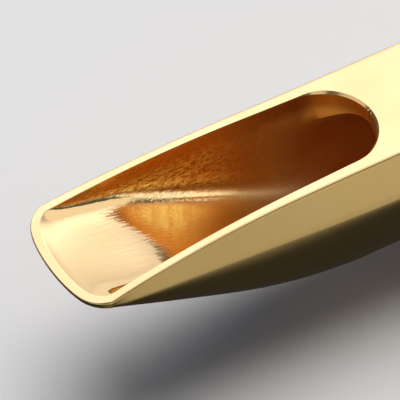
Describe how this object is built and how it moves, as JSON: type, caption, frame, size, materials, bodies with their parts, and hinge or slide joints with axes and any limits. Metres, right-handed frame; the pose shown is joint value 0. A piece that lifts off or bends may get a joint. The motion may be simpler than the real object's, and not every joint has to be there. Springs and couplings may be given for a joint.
{
  "type": "saxophone mouthpiece",
  "caption": "Metal saxophone mouthpiece with a long rounded window, a thin bowed tip, a stepped shank and a two-screw ligature whose plate presses on a flat table.",
  "frame": {"origin": "centre of the neck bore's mouth, at the shank's end", "axes": "+X out of the neck bore, away from the tip; +Z out of the flat table that carries the reed; the tip is at -X"},
  "size_m": [0.102, 0.0264, 0.0419],
  "materials": {
    "gold_plate": "gold plated, polished and lightly hand finished",
    "ligature_gold": "gold plated, polished",
    "fixings": "gold plated, polished",
    "bite_plate": "polished",
    "pads": "matt moulded"
  },
  "bodies": {
    "mouthpiece": {"mouthpiece_head": "gold_plate", "shank": "gold_plate", "bite_plate": "bite_plate"},
    "ligature": {"front_ring": "ligature_gold", "rear_ring": "ligature_gold", "bridge_bar": "ligature_gold", "spine_bar": "ligature_gold", "side_bar_left": "ligature_gold", "side_bar_right": "ligature_gold", "bridge_screws": "fixings", "spine_screws": "fixings", "screw_bush_front": "ligature_gold", "screw_bush_rear": "ligature_gold", "rest_pad_front": "pads", "rest_pad_rear": "pads"},
    "plate": {"pressure_plate": "ligature_gold", "reed_pad_left": "pads", "reed_pad_right": "pads", "swivel_cup_front": "ligature_gold", "swivel_cup_rear": "ligature_gold", "swivel_clip_front": "fixings", "swivel_clip_rear": "fixings"},
    "screw_front": {"screw_stem_front": "fixings", "thumb_knob_front": "ligature_gold"},
    "screw_rear": {"screw_stem_rear": "fixings", "thumb_knob_rear": "ligature_gold"}
  },
  "joints": [
    {"name": "ligature_slide", "type": "slide", "parent": "mouthpiece", "child": "ligature", "axis": [-1, 0, 0], "range_m": [0, 0.075]},
    {"name": "plate_lift", "type": "slide", "parent": "ligature", "child": "plate", "axis": [0, 0, 1], "range_m": [0, 0.003]},
    {"name": "front_screw_turn", "type": "hinge", "parent": "plate", "child": "screw_front", "pos_m": [-0.0468, 0, 0], "axis": [0, 0, 1], "range_deg": [0, 1440]},
    {"name": "rear_screw_turn", "type": "hinge", "parent": "plate", "child": "screw_rear", "pos_m": [-0.0362, 0, 0], "axis": [0, 0, 1], "range_deg": [0, 1440]}
  ],
  "couplings": [
    {"joint": "front_screw_turn", "follows": "plate_lift", "rad_per_m": 8377.6},
    {"joint": "rear_screw_turn", "follows": "plate_lift", "rad_per_m": 8377.6}
  ]
}
